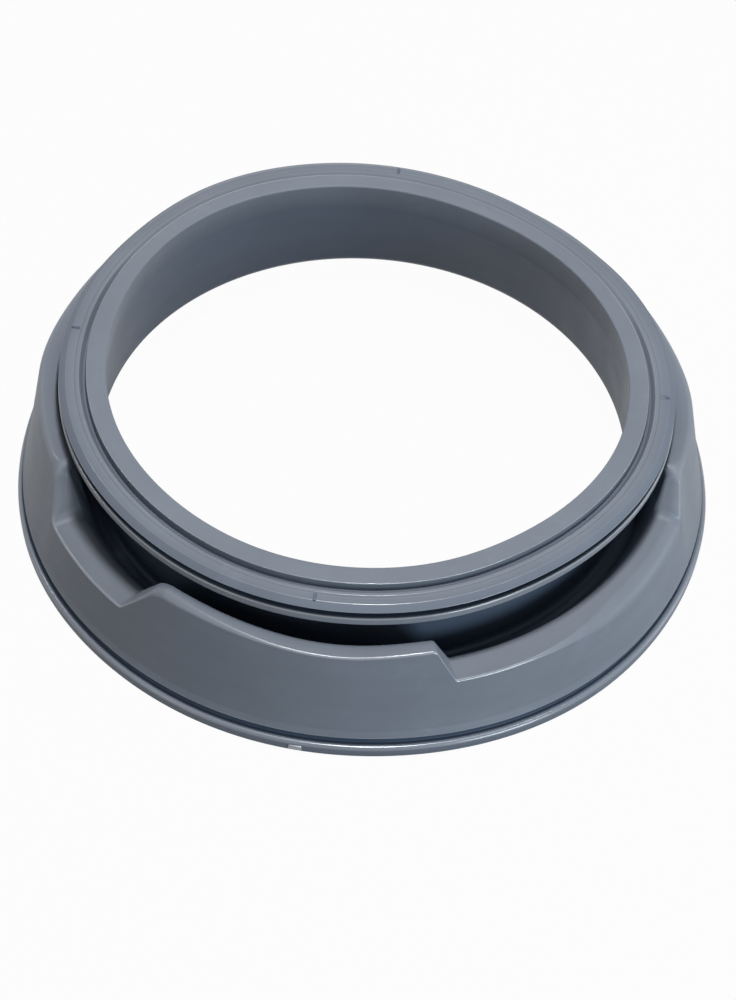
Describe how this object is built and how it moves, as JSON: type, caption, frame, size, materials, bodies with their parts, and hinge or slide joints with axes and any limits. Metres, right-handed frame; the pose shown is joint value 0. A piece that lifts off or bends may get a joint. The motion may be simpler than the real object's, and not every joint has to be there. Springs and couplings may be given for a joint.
{
  "type": "washing machine gasket",
  "caption": "Round moulded rubber door seal: flat sealing band and slotted door ring on a neck, folded into a flared wall with recesses at the front and a rim for the tub.",
  "frame": {"origin": "centre of the base, on the plane of the tub side rim's underside", "axes": "+Z along the ring's axis towards the door side; the raised hood between the recesses faces -Y"},
  "size_m": [0.3799, 0.3807, 0.083],
  "materials": {
    "rubber": "satin grey moulded rubber"
  },
  "bodies": {
    "root": {"door_gasket": "rubber"}
  },
  "joints": []
}
